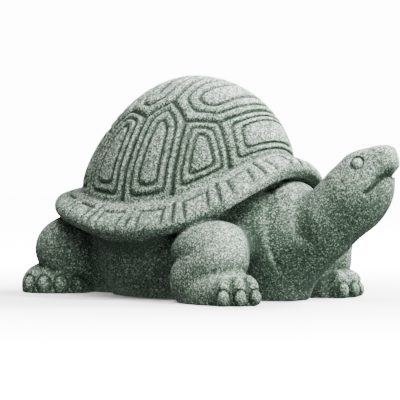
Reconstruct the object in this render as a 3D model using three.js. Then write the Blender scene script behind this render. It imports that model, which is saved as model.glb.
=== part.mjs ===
// Stone turtle, carved from one block of green granite: domed shell cut into plates, a flared band
// of small plates round it, four legs with clawed toes, and the head raised on a thick neck.
// Millimetres. +X towards the head, +Y towards the turtle's left, +Z up, resting on Z = 0.
import * as THREE from 'three';

// Shell dome: an oval in plan, its crown a little ahead of the middle.
const DOME_LONG = 83.5;
const DOME_WIDE = 65.5;
const DOME_TOP = 154;
const DOME_LEAN = 7;
const DOME_LEAN_FROM = 88;
const DOME_FOOT = { front: 99.5, side: 65.5, rear: 75, power: 2.5 };
const DOME_FULLNESS = 0.65;
const DOME_FULLNESS_TURN = 0.04;
const DOME_SKIRT = 14;
const DOME_FUNNEL = 200;

// Flared band round the dome, from the dome's foot out to a rounded lip.
const BAND_AHEAD = 107;
const BAND_BEHIND = 102;
const BAND_WIDE = 85;
const LIP_HEIGHT = { front: 90, side: 48, rear: 67, power: 3.5 };
const LIP_RADIUS = 6.5;
const BAND_ROOT_IN = 5;
const BAND_ROOT_DOWN = 8;
const BAND_ROOT_RADIUS = 8;
const BAND_SWELL = 1.2;
const BAND_PLATE_ANGLE = 20;
const BAND_PLATE_SHIFT = -0.06;
const BAND_ARCH_HALF = 7.8;
const BAND_ARCH_DROP = 6.5;
const BAND_GROOVE = 1.2;
const BAND_DEPTH = 2.2;

// Grooves: the seams between plates and the rings inside each plate.
const SEAM_WIDTH = 1.6;
const SEAM_DEPTH = 2.6;
const RING_WIDTH = 1.15;
const RING_DEPTH = 1.8;
const RING_CORNER = 1.4;
const FOOT_BORDER_EXTRA = -1.5;

// Corners of the plates on one side, with the dome flattened to a disc: crown 0, dome foot 1.
const FRONT_CORNER = [0.53, 0.365];
const SHOULDER_CORNER = [0.31, 0.47];
const BACK_CORNER = [0.12, 0.365];
const MIDDLE_CORNER = [-0.01, 0.5];
const LOIN_CORNER = [-0.2, 0.42];
const HIP_CORNER = [-0.36, 0.52];
const TAIL_CORNER = [-0.52, 0.33];
const FOOT_ANGLES = [30, 61, 90, 120, 150];

// The seam above the front plate sags ahead in its middle: how far, over what width, and where.
const FRONT_SAG = { drop: 0.09, wide: 0.365, at: 0.58, long: 0.25 };

// Legs, in the half where outward is positive.
const CLAW_RING = { gap: 1, width: 0.9, depth: 1.2 };
const RIGHT_FRONT = {
  masses: [
    { at: [72.5, 63, 15], radii: [20, 18, 18.5], yaw: -5, pitch: 0, power: 2.3, blend: 0 },
    { at: [83, 62, 21], radii: [24, 18, 14], yaw: 8, pitch: 20, power: 2, blend: 6 },
    { at: [72, 53, 36], radii: [28.5, 22, 19], yaw: -6, pitch: 10, power: 2, blend: 1.2 },
    { at: [84, 58, 30], radii: [24, 18, 18], yaw: 0, pitch: 0, power: 2, blend: 8 },
    { at: [86, 66, 5], radii: [27, 17, 17], yaw: 10, pitch: 0, power: 2.3, blend: 3 },
    { at: [100, 64, 6], radii: [20, 18, 17.5], yaw: 25, pitch: 0, power: 2.2, blend: 3 },
  ],
  fan: { at: [99, 62], heading: 31, reach: 19, spread: 24, count: 3 },
  toe: [10.5, 6, 12.5],
  claw: [3.2, 3.9, 4.8],
};
const LEFT_FRONT = {
  masses: [
    { at: [72, 53, 36], radii: [31, 23, 19], yaw: -6, pitch: 10, power: 2, blend: 0 },
    { at: [82, 50, 27], radii: [20, 17, 18], yaw: 0, pitch: 0, power: 2, blend: 8 },
    { at: [62, 58, 15], radii: [21, 19, 19], yaw: -5, pitch: 0, power: 2.4, blend: 3 },
    { at: [76, 53, 19], radii: [24, 17, 15], yaw: 0, pitch: 10, power: 2, blend: 7 },
    { at: [86, 46, 6], radii: [21, 19, 17], yaw: 10, pitch: 0, power: 2.2, blend: 2 },
  ],
  fan: { at: [86, 46], heading: 10, reach: 18, spread: 25, count: 3 },
  toe: [10, 7, 12],
  claw: [3.2, 3.9, 4.8],
};
const HIND = {
  masses: [
    { at: [-75, 39.5, 31], radii: [24, 27, 24], yaw: 46, pitch: 0, power: 2, blend: 0 },
    { at: [-88, 42, 5], radii: [26, 26, 18], yaw: 46, pitch: 0, power: 2.2, blend: 1.5 },
  ],
  fan: { at: [-88, 42], heading: 53, reach: 19, spread: 27.5, count: 4 },
  toe: [9, 6.8, 12],
  claw: [3.2, 4.1, 5.8],
};

// Belly, rump, breast and tail.
const BELLY = { at: [10, 0, 30], radii: [74, 66, 48], yaw: 0, pitch: 0, power: 2, exact: 40 };
const RUMP = { at: [-60, 0, 29], radii: [37, 46, 34], yaw: 0, pitch: 0, power: 2.3 };
const BREAST = { at: [66, 0, 38], radii: [58, 35, 37], yaw: 0, pitch: 0, power: 2.4 };
const KEEL = { at: [80, 0, 14], radii: [31, 24, 24], yaw: 0, pitch: 0, power: 2.3 };
const KEEL_BLEND = 4;
const BREAST_FACE = { slopeX: 0.97, slopeZ: 0.24, reach: 108.5, round: 2 };
const TAIL = { from: [-78, 0, 24], to: [-97, 5, 12], thick: 17, thin: 9 };

// Neck and head. The head turns a little to the turtle's left and looks up.
const THROAT = { from: [97, 0, 40], to: [142, 9, 63], thick: 34, thin: 21 };
const NECK_NARROW = 1.25;
const NAPE = { at: [97, 4, 53], radii: [19.5, 25, 28], yaw: 10, pitch: 0, power: 2 };
const NAPE_BLEND = 8;
const NECK_FOLD = { width: 5.5, depth: 4, from: 34, to: 46 };
const HEAD_ROOT = [120, 5];
const HEAD_YAW = 18;
const SKULL = { at: [143.5, 12.6, 70.5], radii: [32.7, 21.6, 24.1], yaw: HEAD_YAW, pitch: 46, power: 2 };
const MUZZLE = { at: [156.3, 16.8, 93.6], radii: [17.3, 12.6, 10.3], yaw: HEAD_YAW, pitch: 17, power: 3.4 };
const MUZZLE_BLEND = 8;
const JOWL = { at: [125.6, 5.6, 52], radii: [20, 22.4, 23], yaw: HEAD_YAW, pitch: 0, power: 2 };
const JOWL_BLEND = 10;
const EYE = { at: [33.3, 14.4, 93.8], radius: 3.2, ring: 0.6, ringWidth: 0.8, ringDepth: 1.4 };
const MOUTH_LINE = [[40, 74], [43.5, 76.7], [48.8, 83.9], [54.2, 88.5], [62, 89]];
const MOUTH_WIDTH = 1.2;
const MOUTH_DEPTH = 2;
const BEAK_DROP = 3;
const BEAK_HALF = 4;

// Widths of the creases where the forms meet: the flanks flow into the band, while the neck stays cut
// free of it; the thighs flow into the rump behind; the breast flows into all but the band.
const FLANK_BLEND = { side: 24, front: 4, from: 25, to: 55 };
const RUMP_BLEND = 10;
const LEG_BLEND = { front: 3, rear: 8, from: -60, to: -90 };
const BREAST_BLEND = { low: 12, high: 3, from: 58, to: 74 };
const TAIL_BLEND = 9;
const NECK_BLEND = 2.5;
const HEAD_BLEND = 3;

// Skin: the sampling step and the number of triangles kept.
const CELL = 1.6;
const COARSE = 4;
const SKIN_BOX = { min: [-120, -98, -4], max: [190, 98, 160] };
const TRIANGLES = 9800;

const RAD = Math.PI / 180;

function smoothMin(a, b, k) {
  const h = Math.min(Math.max(0.5 + (0.5 * (b - a)) / k, 0), 1);
  return b + (a - b) * h - k * h * (1 - h);
}

function smoothMax(a, b, k) {
  return -smoothMin(-a, -b, k);
}

function ease(from, to, value) {
  const t = Math.min(Math.max((value - from) / (to - from), 0), 1);
  return t * t * (3 - 2 * t);
}

// Depth of a rounded groove at a distance from its middle line.
function notch(gap, width, depth) {
  const g = gap / width;
  return g > 4 || g < -4 ? 0 : depth * Math.exp(-g * g);
}

// Rounded mass: an ellipsoid at power 2, with fuller corners above that. Farther off than exact, the
// distance to a ball round it serves instead.
function mass({ at, radii, yaw, pitch, power, exact = 14 }) {
  const [cx, cy, cz] = at;
  const [rx, ry, rz] = radii;
  const ca = Math.cos(yaw * RAD);
  const sa = Math.sin(yaw * RAD);
  const cb = Math.cos(pitch * RAD);
  const sb = Math.sin(pitch * RAD);
  const bound = Math.max(rx, ry, rz) * (power > 2 ? 1.25 : 1);
  return (x, y, z) => {
    const dx = x - cx;
    const dy = y - cy;
    const dz = z - cz;
    const away = Math.sqrt(dx * dx + dy * dy + dz * dz) - bound;
    if (away >= exact) {
      return away;
    }
    const along = dx * ca + dy * sa;
    const u = Math.abs(along * cb + dz * sb) / rx;
    const v = Math.abs(-dx * sa + dy * ca) / ry;
    const w = Math.abs(-along * sb + dz * cb) / rz;
    if (power === 2) {
      const k0 = Math.max(Math.sqrt(u * u + v * v + w * w), 1e-6);
      const k1 = Math.sqrt((u / rx) ** 2 + (v / ry) ** 2 + (w / rz) ** 2);
      return (k0 * (k0 - 1)) / Math.max(k1, 1e-9);
    }
    const un = u ** (power - 1);
    const vn = v ** (power - 1);
    const wn = w ** (power - 1);
    const k0 = (un * u + vn * v + wn * w) ** (1 / power);
    const slope = Math.sqrt((un / rx) ** 2 + (vn / ry) ** 2 + (wn / rz) ** 2);
    const g = slope / Math.max(k0, 1e-6) ** (power - 1);
    return (k0 - 1) / Math.max(g, 1e-4);
  };
}

// Round bar that tapers from one ball to another.
function taper({ from, to, thick, thin }) {
  const [ax, ay, az] = from;
  const ux = to[0] - ax;
  const uy = to[1] - ay;
  const uz = to[2] - az;
  const square = ux * ux + uy * uy + uz * uz;
  return (x, y, z) => {
    const px = x - ax;
    const py = y - ay;
    const pz = z - az;
    const t = Math.min(Math.max((px * ux + py * uy + pz * uz) / square, 0), 1);
    const gap = Math.hypot(px - t * ux, py - t * uy, pz - t * uz);
    return gap - (thick + (thin - thick) * t);
  };
}

// Height that runs round the shell between its values at the front, the sides and the rear.
function round({ front, side, rear, power }, cosine) {
  const ahead = Math.max(cosine, 0) ** power;
  return side + (front - side) * ahead + (rear - side) * Math.max(-cosine, 0);
}

function onFoot(degrees) {
  return [Math.cos(degrees * RAD), Math.sin(degrees * RAD)];
}

// A plate as the straight seams round it, each pointing into the plate. Edges on the dome's foot are open.
function plate(corners, border, step) {
  const seams = [];
  let turn = 0;
  corners.forEach(([x0, y0], i) => {
    const [x1, y1] = corners[(i + 1) % corners.length];
    turn += x0 * y1 - x1 * y0;
  });
  corners.forEach(([x0, y0], i) => {
    const [x1, y1] = corners[(i + 1) % corners.length];
    const open = Math.hypot(x0, y0) > 0.999 && Math.hypot(x1, y1) > 0.999;
    if (!open) {
      const length = Math.hypot(x1 - x0, y1 - y0) * Math.sign(turn);
      seams.push({ x0, y0, nx: (y0 - y1) / length, ny: (x1 - x0) / length });
    }
  });
  return { seams, border, step };
}

function makePlates() {
  const [foot30, foot61, foot90, foot120, foot150] = FOOT_ANGLES.map(onFoot);
  const flip = ([x, y]) => [x, -y];
  const plates = [];
  [(c) => c, flip].forEach((side) => {
    plates.push(plate([FRONT_CORNER, foot30, foot61, SHOULDER_CORNER].map(side), 5.2, 5));
    const second = [SHOULDER_CORNER, foot61, foot90, MIDDLE_CORNER, BACK_CORNER];
    plates.push(plate(second.map(side), 5.2, 5.2));
    const third = [MIDDLE_CORNER, foot90, foot120, HIP_CORNER, LOIN_CORNER];
    plates.push(plate(third.map(side), 5.2, 5));
    plates.push(plate([HIP_CORNER, foot120, foot150, TAIL_CORNER].map(side), 5.2, 5));
  });
  const across = (half) => [...half, ...half.map(flip).reverse()];
  plates.push(plate(across([foot30, FRONT_CORNER]), 7, 6.5));
  plates.push(plate(across([FRONT_CORNER, SHOULDER_CORNER, BACK_CORNER]), 7.5, 7));
  plates.push(plate(across([BACK_CORNER, MIDDLE_CORNER, LOIN_CORNER]), 7.5, 7));
  plates.push(plate(across([LOIN_CORNER, HIP_CORNER, TAIL_CORNER]), 7, 6.5));
  plates.push(plate(across([TAIL_CORNER, foot150]), 6.5, 6));
  return plates;
}

const PLATES = makePlates();

// Depth of the seams and rings at a point near the dome's skin. The rings turn round the corners of
// their plate: their inset is the smoothed least of the insets from its seams and from the dome's foot.
function plateCarving(x, y, z, c, s, radius, rise, foot) {
  const t = Math.atan2(radius, Math.max(rise, 0)) / (Math.PI / 2);
  const flatY = t * s;
  const bow = Math.max(1 - (flatY / FRONT_SAG.wide) ** 2, 0);
  const flatX = t * c - FRONT_SAG.drop * bow * Math.exp(-(((t * c - FRONT_SAG.at) / FRONT_SAG.long) ** 2));
  const up = Math.max((Math.PI / 2) * Math.hypot(x, y, z - foot), 30);
  const wide = Math.hypot(DOME_LONG * c, DOME_WIDE * s);
  const round1 = radius > 1e-3 ? t / (radius * wide) : 2 / (Math.PI * wide);
  const footInset = (1 - t) * up - FOOT_BORDER_EXTRA;
  let best = -1000;
  let owner = PLATES[0];
  let nearness = 1;
  PLATES.forEach((one) => {
    let inset = 1000;
    let near = Math.exp(-footInset / RING_CORNER);
    one.seams.forEach(({ x0, y0, nx, ny }) => {
      const over = (flatX - x0) * nx + (flatY - y0) * ny;
      const a = (nx * c + ny * s) / up;
      const b = (ny * c - nx * s) * round1;
      const gap = over / Math.sqrt(a * a + b * b);
      inset = Math.min(inset, gap);
      near += Math.exp(-Math.min(Math.max(gap, -20), 200) / RING_CORNER);
    });
    if (inset > best) {
      best = inset;
      owner = one;
      nearness = near;
    }
  });
  const inner = -RING_CORNER * Math.log(nearness);
  const first = notch(inner - owner.border, RING_WIDTH, RING_DEPTH);
  const second = notch(inner - owner.border - owner.step, RING_WIDTH, RING_DEPTH);
  return notch(best, SEAM_WIDTH, SEAM_DEPTH) + first + second;
}

function dome(x, y, z) {
  const lean = DOME_LEAN * Math.min(Math.max((z - DOME_LEAN_FROM) / (DOME_TOP - DOME_LEAN_FROM), 0), 1);
  const ex = (x - lean) / DOME_LONG;
  const ey = y / DOME_WIDE;
  const radius = Math.hypot(ex, ey);
  const c = radius > 1e-9 ? ex / radius : 1;
  const s = radius > 1e-9 ? ey / radius : 0;
  const foot = round(DOME_FOOT, c);
  const high = DOME_TOP - foot;
  const rise = (z - foot) / high;
  const q = 1 / (DOME_FULLNESS - DOME_FULLNESS_TURN * c);
  const lift = Math.max(rise, 0);
  const g = radius * radius + lift ** q - 1;
  const slopeZ = (q * lift ** (q - 1)) / high;
  const slope = Math.sqrt((2 * ex / DOME_LONG) ** 2 + (2 * ey / DOME_WIDE) ** 2 + slopeZ ** 2);
  const skin = g / Math.max(slope, 0.006);
  const under = (foot - DOME_SKIRT - (1 - radius) * DOME_FUNNEL - z) / 2.8;
  const near = 1 - Math.abs(skin) / 12;
  if (near <= 0 || under > 0) {
    return Math.max(skin, under);
  }
  return Math.max(skin + near * plateCarving(x - lean, y, z, c, s, radius, rise, foot), under);
}

// Band of small plates: a rounded bar bent round the dome, seams and arches cut in its top.
function band(x, y, z) {
  const reach = Math.hypot(x, y);
  const px = reach > 1e-9 ? x / reach : 1;
  const py = reach > 1e-9 ? y / reach : 0;
  const long = x > 0 ? BAND_AHEAD : BAND_BEHIND;
  const lipReach = 1 / Math.hypot(px / long, py / BAND_WIDE);
  const footReach = 1 / Math.hypot(px / DOME_LONG, py / DOME_WIDE);
  const turn = Math.atan2(y / BAND_WIDE, x / long);
  const c = Math.cos(turn);
  const lipR = lipReach - LIP_RADIUS;
  const lipZ = round(LIP_HEIGHT, c);
  const inR = footReach - BAND_ROOT_IN - lipR;
  const inZ = round(DOME_FOOT, c) - BAND_ROOT_DOWN - lipZ;
  const length = Math.hypot(inR, inZ);
  const qr = reach - lipR;
  const qz = z - lipZ;
  const t = Math.min(Math.max((qr * inR + qz * inZ) / (length * length), 0), 1);
  const thick = LIP_RADIUS + (BAND_ROOT_RADIUS - LIP_RADIUS) * t + BAND_SWELL * 4 * t * (1 - t);
  const gap = Math.hypot(qr - t * inR, qz - t * inZ) - thick;
  const near = 1 - Math.abs(gap) / 8;
  if (near <= 0) {
    return gap;
  }
  const fromFoot = (1 - t) * length - BAND_ROOT_IN;
  const share = turn / (BAND_PLATE_ANGLE * RAD) + BAND_PLATE_SHIFT + 0.5;
  const offset = Math.abs(share - Math.floor(share) - 0.5);
  const arc = BAND_PLATE_ANGLE * RAD * reach;
  const fromSeam = offset * arc;
  const fromMiddle = (0.5 - offset) * arc;
  const seam = notch(fromSeam, BAND_GROOVE, BAND_DEPTH) * ease(0.5, 3, fromFoot);
  const sides = notch(fromMiddle - BAND_ARCH_HALF, BAND_GROOVE, BAND_DEPTH);
  const cap = notch(fromFoot - BAND_ARCH_DROP, BAND_GROOVE, BAND_DEPTH);
  const lowered = ease(BAND_ARCH_DROP - 1.5, BAND_ARCH_DROP, fromFoot);
  const within = ease(0, 1.5, BAND_ARCH_HALF + 1 - fromMiddle);
  const fade = ease(-1, 4, qz);
  return gap + near * fade * Math.max(seam, sides * lowered, cap * within);
}

// A leg: its masses blended in turn, then toes fanned round the foot, each ending in a claw.
function makeLeg({ masses, fan, toe, claw }) {
  const parts = masses.map((m) => ({ shape: mass(m), blend: m.blend }));
  const toes = [];
  const claws = [];
  for (let i = 0; i < fan.count; i += 1) {
    const angle = fan.heading + (i - (fan.count - 1) / 2) * fan.spread;
    const c = Math.cos(angle * RAD);
    const s = Math.sin(angle * RAD);
    const tip = fan.reach + toe[0] - 2;
    const toeAt = [fan.at[0] + fan.reach * c, fan.at[1] + fan.reach * s, toe[2] * 0.6];
    const clawAt = [fan.at[0] + tip * c, fan.at[1] + tip * s, claw[2] + 0.5];
    toes.push(mass({ at: toeAt, radii: toe, yaw: angle, pitch: 0, power: 2 }));
    claws.push(mass({ at: clawAt, radii: claw, yaw: angle, pitch: 0, power: 2 }));
  }
  const reach = fan.reach + toe[0] + 16;
  return (x, y, z) => {
    let d = parts[0].shape(x, y, z);
    for (let i = 1; i < parts.length; i += 1) {
      d = smoothMin(d, parts[i].shape(x, y, z), parts[i].blend);
    }
    if (Math.hypot(x - fan.at[0], y - fan.at[1], z) > reach) {
      return d;
    }
    toes.forEach((one) => {
      d = smoothMin(d, one(x, y, z), 2.2);
    });
    claws.forEach((one) => {
      const e = one(x, y, z);
      d = Math.min(d + notch(e - CLAW_RING.gap, CLAW_RING.width, CLAW_RING.depth), e);
    });
    return d;
  };
}

const rightFront = makeLeg(RIGHT_FRONT);
const leftFront = makeLeg(LEFT_FRONT);
const hind = makeLeg(HIND);
const belly = mass(BELLY);
const rump = mass(RUMP);
const breastMass = mass(BREAST);
const keel = mass(KEEL);
const tail = taper(TAIL);
const throat = taper(THROAT);
const nape = mass(NAPE);
const skull = mass(SKULL);
const muzzle = mass(MUZZLE);
const jowl = mass(JOWL);

function legs(x, y, z) {
  const front = y < 0 ? rightFront(x, -y, z) : leftFront(x, y, z);
  return Math.min(front, hind(x, Math.abs(y), z));
}

// The breast, sliced by a sloping face whose rim shows as a ridge round the root of the neck, with a
// keel under it that stands on the ground.
function breast(x, y, z) {
  const face = BREAST_FACE.slopeX * x + BREAST_FACE.slopeZ * z - BREAST_FACE.reach;
  return smoothMin(smoothMax(breastMass(x, y, z), face, BREAST_FACE.round), keel(x, y, z), KEEL_BLEND);
}

// The neck: a deep narrow throat with the swollen fold of the nape over its root.
function neck(x, y, z) {
  return smoothMin(throat(x, y * NECK_NARROW, z), nape(x, y, z), NAPE_BLEND);
}

function segmentGap(px, pz, [ax, az], [bx, bz]) {
  const ux = bx - ax;
  const uz = bz - az;
  const t = Math.min(Math.max(((px - ax) * ux + (pz - az) * uz) / (ux * ux + uz * uz), 0), 1);
  return Math.hypot(px - ax - t * ux, pz - az - t * uz);
}

// The head: skull, blunt muzzle and jowl, a mouth line that dips under the tip of the beak, and a
// ringed eye each side.
function head(x, y, z) {
  let d = smoothMin(skull(x, y, z), muzzle(x, y, z), MUZZLE_BLEND);
  d = smoothMin(d, jowl(x, y, z), JOWL_BLEND);
  if (d > 12) {
    return d;
  }
  const c = Math.cos(HEAD_YAW * RAD);
  const s = Math.sin(HEAD_YAW * RAD);
  const ahead = (x - HEAD_ROOT[0]) * c + (y - HEAD_ROOT[1]) * s;
  const beside = Math.abs((y - HEAD_ROOT[1]) * c - (x - HEAD_ROOT[0]) * s);
  const level = z + notch(beside, BEAK_HALF, BEAK_DROP);
  let line = 100;
  for (let i = 1; i < MOUTH_LINE.length; i += 1) {
    line = Math.min(line, segmentGap(ahead, level, MOUTH_LINE[i - 1], MOUTH_LINE[i]));
  }
  d += notch(line, MOUTH_WIDTH, MOUTH_DEPTH);
  const ball = Math.hypot(ahead - EYE.at[0], beside - EYE.at[1], z - EYE.at[2]) - EYE.radius;
  d += notch(ball - EYE.ring, EYE.ringWidth, EYE.ringDepth);
  return Math.min(d, ball);
}

// Signed distance to the whole figure, negative inside.
function figure(x, y, z) {
  const flank = ease(FLANK_BLEND.from, FLANK_BLEND.to, x);
  const rear = ease(LEG_BLEND.from, LEG_BLEND.to, x);
  const high = ease(BREAST_BLEND.from, BREAST_BLEND.to, z);
  const flankBlend = FLANK_BLEND.side + (FLANK_BLEND.front - FLANK_BLEND.side) * flank;
  const legBlend = LEG_BLEND.front + (LEG_BLEND.rear - LEG_BLEND.front) * rear;
  const breastBlend = BREAST_BLEND.low + (BREAST_BLEND.high - BREAST_BLEND.low) * high;
  let d = smoothMin(belly(x, y, z), band(x, y, z), flankBlend);
  d = smoothMin(d, rump(x, y, z), RUMP_BLEND);
  d = smoothMin(d, legs(x, y, z), legBlend);
  d = smoothMin(d, breast(x, y, z), breastBlend);
  d = smoothMin(d, tail(x, y, z), TAIL_BLEND);
  const face = head(x, y, z);
  const fold = notch(Math.max(face, 0), NECK_FOLD.width, NECK_FOLD.depth);
  d = smoothMin(d, neck(x, y, z) + fold * ease(NECK_FOLD.from, NECK_FOLD.to, z), NECK_BLEND);
  d = smoothMin(d, face, HEAD_BLEND);
  d = smoothMin(d, dome(x, y, z), 1);
  return smoothMax(d, -z, 1);
}

// Closed skin of the figure: every cube of a fine grid is split into six tetrahedra that share the
// cube's long diagonal, and each tetrahedron the surface crosses gives one or two triangles.
function makeSkin() {
  const [x0, y0, z0] = SKIN_BOX.min;
  const size = SKIN_BOX.min.map((v, i) => Math.ceil((SKIN_BOX.max[i] - v) / CELL / COARSE) * COARSE + 1);
  const [nx, ny, nz] = size;
  const values = new Float64Array(nx * ny * nz).fill(NaN);
  const at = (i, j, k) => i + nx * (j + ny * k);
  const value = (i, j, k) => {
    const n = at(i, j, k);
    if (Number.isNaN(values[n])) {
      values[n] = figure(x0 + i * CELL, y0 + j * CELL, z0 + k * CELL) || 1e-9;
    }
    return values[n];
  };
  const steps = [[1, 0, 0], [0, 1, 0], [0, 0, 1]];
  const orders = [[0, 1, 2], [0, 2, 1], [1, 0, 2], [1, 2, 0], [2, 0, 1], [2, 1, 0]];
  const positions = [];
  const faces = [];
  const known = new Map();
  const total = nx * ny * nz;
  const cut = (a, b) => {
    const [p, q] = a.n < b.n ? [a, b] : [b, a];
    const key = p.n * total + q.n;
    let id = known.get(key);
    if (id === undefined) {
      const t = Math.min(Math.max(p.v / (p.v - q.v), 0.03), 0.97);
      id = positions.length / 3;
      positions.push(x0 + (p.i + (q.i - p.i) * t) * CELL);
      positions.push(y0 + (p.j + (q.j - p.j) * t) * CELL);
      positions.push(z0 + (p.k + (q.k - p.k) * t) * CELL);
      known.set(key, id);
    }
    return id;
  };
  const addFace = (a, b, c, [ox, oy, oz]) => {
    const ux = positions[3 * b] - positions[3 * a];
    const uy = positions[3 * b + 1] - positions[3 * a + 1];
    const uz = positions[3 * b + 2] - positions[3 * a + 2];
    const vx = positions[3 * c] - positions[3 * a];
    const vy = positions[3 * c + 1] - positions[3 * a + 1];
    const vz = positions[3 * c + 2] - positions[3 * a + 2];
    const facing = (uy * vz - uz * vy) * ox + (uz * vx - ux * vz) * oy + (ux * vy - uy * vx) * oz;
    faces.push(...(facing > 0 ? [a, b, c] : [a, c, b]));
  };
  const cell = (i, j, k) => {
    let low = 0;
    for (let n = 0; n < 8; n += 1) {
      low += value(i + (n & 1), j + ((n >> 1) & 1), k + (n >> 2)) < 0 ? 1 : 0;
    }
    if (low === 0 || low === 8) {
      return;
    }
    orders.forEach((order) => {
      const corner = [i, j, k];
      const tet = [{ i, j, k, n: at(i, j, k), v: value(i, j, k) }];
      order.forEach((axis) => {
        steps[axis].forEach((s, n) => {
          corner[n] += s;
        });
        const [ci, cj, ck] = corner;
        tet.push({ i: ci, j: cj, k: ck, n: at(ci, cj, ck), v: value(ci, cj, ck) });
      });
      const inside = tet.filter((one) => one.v < 0);
      const outside = tet.filter((one) => one.v >= 0);
      if (inside.length === 0 || outside.length === 0) {
        return;
      }
      const outward = ['i', 'j', 'k'].map((axis) => {
        const mean = (list) => list.reduce((sum, one) => sum + one[axis], 0) / list.length;
        return mean(outside) - mean(inside);
      });
      if (inside.length === 2) {
        const [p, q] = inside;
        const [r, t] = outside;
        addFace(cut(p, r), cut(p, t), cut(q, t), outward);
        addFace(cut(p, r), cut(q, t), cut(q, r), outward);
      } else {
        const [lone] = inside.length === 1 ? inside : outside;
        const [a, b, c] = tet.filter((one) => one !== lone).map((one) => cut(lone, one));
        addFace(a, b, c, outward);
      }
    });
  };
  const wide = COARSE * CELL;
  for (let k = 0; k < nz - 1; k += COARSE) {
    for (let j = 0; j < ny - 1; j += COARSE) {
      for (let i = 0; i < nx - 1; i += COARSE) {
        const middle = figure(x0 + i * CELL + wide / 2, y0 + j * CELL + wide / 2, z0 + k * CELL + wide / 2);
        if (Math.abs(middle) < wide * 1.6) {
          for (let n = 0; n < COARSE ** 3; n += 1) {
            const di = n % COARSE;
            const dj = Math.floor(n / COARSE) % COARSE;
            cell(i + di, j + dj, k + Math.floor(n / COARSE / COARSE));
          }
        }
      }
    }
  }
  return { positions: Float64Array.from(positions), faces: Int32Array.from(faces) };
}

// Faces of the outer skin alone: pockets left between masses inside the block are filled.
function outerFaces(faces, count) {
  const leader = Int32Array.from({ length: count }, (_, v) => v);
  const lead = (v) => {
    let top = v;
    while (leader[top] !== top) {
      leader[top] = leader[leader[top]];
      top = leader[top];
    }
    return top;
  };
  for (let n = 0; n < faces.length; n += 3) {
    leader[lead(faces[n + 1])] = lead(faces[n]);
    leader[lead(faces[n + 2])] = lead(faces[n]);
  }
  const sizes = new Map();
  faces.forEach((v) => {
    sizes.set(lead(v), (sizes.get(lead(v)) || 0) + 1);
  });
  const [outer] = [...sizes.entries()].sort((a, b) => b[1] - a[1])[0];
  return faces.filter((v) => lead(v) === outer);
}

// Moves every point of the skin onto the exact surface.
function settle(positions) {
  const e = 0.05;
  for (let n = 0; n < positions.length; n += 3) {
    for (let pass = 0; pass < 2; pass += 1) {
      const [x, y, z] = positions.subarray(n, n + 3);
      const d = figure(x, y, z);
      const gx = (figure(x + e, y, z) - figure(x - e, y, z)) / (2 * e);
      const gy = (figure(x, y + e, z) - figure(x, y - e, z)) / (2 * e);
      const gz = (figure(x, y, z + e) - figure(x, y, z - e)) / (2 * e);
      const pull = Math.min(Math.max(d / Math.max(gx * gx + gy * gy + gz * gz, 0.3), -0.5), 0.5);
      positions[n] -= gx * pull;
      positions[n + 1] -= gy * pull;
      positions[n + 2] -= gz * pull;
    }
  }
}

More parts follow.
